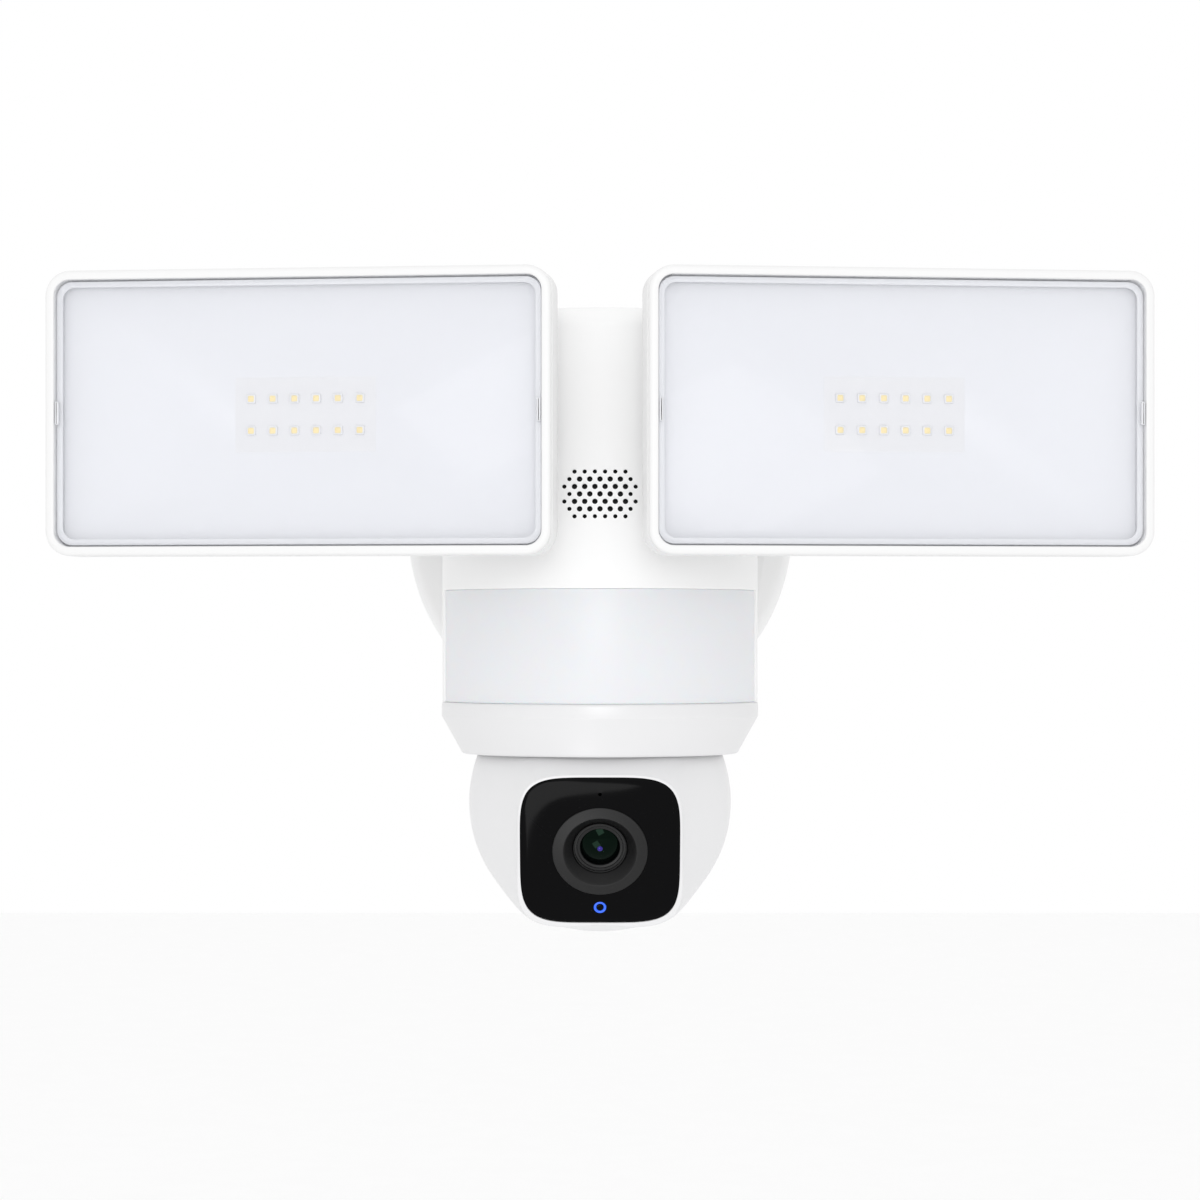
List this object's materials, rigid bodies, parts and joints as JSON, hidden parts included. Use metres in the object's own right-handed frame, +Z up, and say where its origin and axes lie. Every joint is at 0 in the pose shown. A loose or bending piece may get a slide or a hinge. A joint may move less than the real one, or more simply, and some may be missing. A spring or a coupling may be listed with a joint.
{
  "type": "floodlight security camera",
  "caption": "Wall-mounted security camera with a round body, two adjustable LED flood lamps, a motion sensor window and a ball camera that pans and tilts.",
  "frame": {"origin": "centre of the wall canopy on the wall plane", "axes": "+Y into the wall, +Z up, -Y out towards the viewer, +X to the viewer's right"},
  "size_m": [0.335, 0.1594, 0.205],
  "materials": {
    "white_shell": "satin",
    "white_gloss": "satin",
    "canopy_paint": "satin",
    "lamp_paint": "satin",
    "window_milky": "satin",
    "lens_clear": "gloss",
    "reflector_white": "matte",
    "board_white": "satin",
    "board_green": "satin",
    "led_phosphor": "satin",
    "black_gloss": "gloss",
    "black_matte": "matte",
    "optic_glass": "gloss",
    "blue_light": "gloss",
    "gasket_rubber": "matte",
    "zinc_steel": "satin",
    "motor_steel": "satin",
    "gear_nylon": "satin",
    "bearing_brass": "satin",
    "frame_grey": "matte"
  },
  "bodies": {
    "base": {"wall_gasket": "gasket_rubber", "crossbar_bracket": "zinc_steel", "canopy": "canopy_paint", "canopy_screws": "zinc_steel", "cable_grommet": "gasket_rubber", "neck_gasket": "gasket_rubber", "rear_shell": "white_shell", "front_shell": "white_shell", "shell_screws": "zinc_steel", "swivel_pins": "zinc_steel", "speaker": "black_matte", "speaker_mesh": "black_matte", "main_board": "board_green", "power_board": "board_green", "motion_window": "window_milky", "motion_board": "board_green", "motion_sensors": "motor_steel", "chassis": "frame_grey", "chassis_screws": "zinc_steel", "pan_motor": "motor_steel", "base_ring": "white_gloss", "pan_bushing": "bearing_brass", "ball_seal": "gasket_rubber"},
    "arm_left": {"arm_left": "lamp_paint", "tilt_pin_left": "zinc_steel"},
    "arm_right": {"arm_right": "lamp_paint", "tilt_pin_right": "zinc_steel"},
    "lamp_left": {"lamp_housing_left": "lamp_paint", "lamp_gasket_left": "gasket_rubber", "lamp_bezel_left": "white_gloss", "lamp_lens_left": "lens_clear", "reflector_left": "reflector_white", "led_board_left": "board_white", "leds_left": "led_phosphor", "lamp_screws_left": "zinc_steel"},
    "lamp_right": {"lamp_housing_right": "lamp_paint", "lamp_gasket_right": "gasket_rubber", "lamp_bezel_right": "white_gloss", "lamp_lens_right": "lens_clear", "reflector_right": "reflector_white", "led_board_right": "board_white", "leds_right": "led_phosphor", "lamp_screws_right": "zinc_steel"},
    "pan_head": {"turntable": "gear_nylon", "pan_retainer": "zinc_steel", "stem": "frame_grey", "tilt_motor": "motor_steel"},
    "pan_pinion": {"pan_pinion": "gear_nylon"},
    "tilt_pinion": {"tilt_pinion": "gear_nylon"},
    "camera": {"ball_front_shell": "white_gloss", "ball_rear_shell": "white_gloss", "tilt_gear": "gear_nylon", "face_window": "black_gloss", "lens_barrel": "black_matte", "lens_glass": "optic_glass", "camera_board": "board_green", "status_light": "blue_light", "card_board": "board_green"},
    "sync_button": {"sync_button": "white_shell"},
    "card_cover": {"card_cover": "white_gloss"}
  },
  "joints": [
    {"name": "arm_left_swivel", "type": "hinge", "parent": "base", "child": "arm_left", "pos_m": [-0.06, -0.075, 0.031], "axis": [0, 0, -1], "range_deg": [-3, 45]},
    {"name": "arm_right_swivel", "type": "hinge", "parent": "base", "child": "arm_right", "pos_m": [0.06, -0.075, 0.031], "axis": [0, 0, 1], "range_deg": [-3, 45]},
    {"name": "lamp_left_tilt", "type": "hinge", "parent": "arm_left", "child": "lamp_left", "pos_m": [-0.08661, -0.11427, 0.031], "axis": [0.9925, -0.1219, 0], "range_deg": [-22, 22]},
    {"name": "lamp_right_tilt", "type": "hinge", "parent": "arm_right", "child": "lamp_right", "pos_m": [0.08661, -0.11427, 0.031], "axis": [0.9925, 0.1219, 0], "range_deg": [-22, 22]},
    {"name": "camera_pan", "type": "hinge", "parent": "base", "child": "pan_head", "pos_m": [0, -0.075, -0.089], "axis": [0, 0, 1], "range_deg": [-170, 170]},
    {"name": "camera_tilt", "type": "hinge", "parent": "pan_head", "child": "camera", "pos_m": [0, -0.075, -0.089], "axis": [1, 0, 0], "range_deg": [-4, 55]},
    {"name": "pan_pinion_turn", "type": "hinge", "parent": "base", "child": "pan_pinion", "pos_m": [0, -0.0438, -0.041], "axis": [0, 0, 1], "continuous": true},
    {"name": "tilt_pinion_turn", "type": "hinge", "parent": "pan_head", "child": "tilt_pinion", "pos_m": [0.0195, -0.075, -0.0728], "axis": [1, 0, 0], "continuous": true},
    {"name": "sync_button_press", "type": "slide", "parent": "camera", "child": "sync_button", "axis": [0.309, -0.6364, 0.7068], "range_m": [0, 0.0008], "stiffness_N_per_m": 1200, "springref_m": -0.0004},
    {"name": "card_cover_open", "type": "hinge", "parent": "camera", "child": "card_cover", "pos_m": [0, -0.04653, -0.11733], "axis": [1, 0, 0], "range_deg": [0, 90]}
  ],
  "couplings": [
    {"joint": "pan_pinion_turn", "follows": "camera_pan", "ratio": -3.3333},
    {"joint": "tilt_pinion_turn", "follows": "camera_tilt", "ratio": -2}
  ]
}
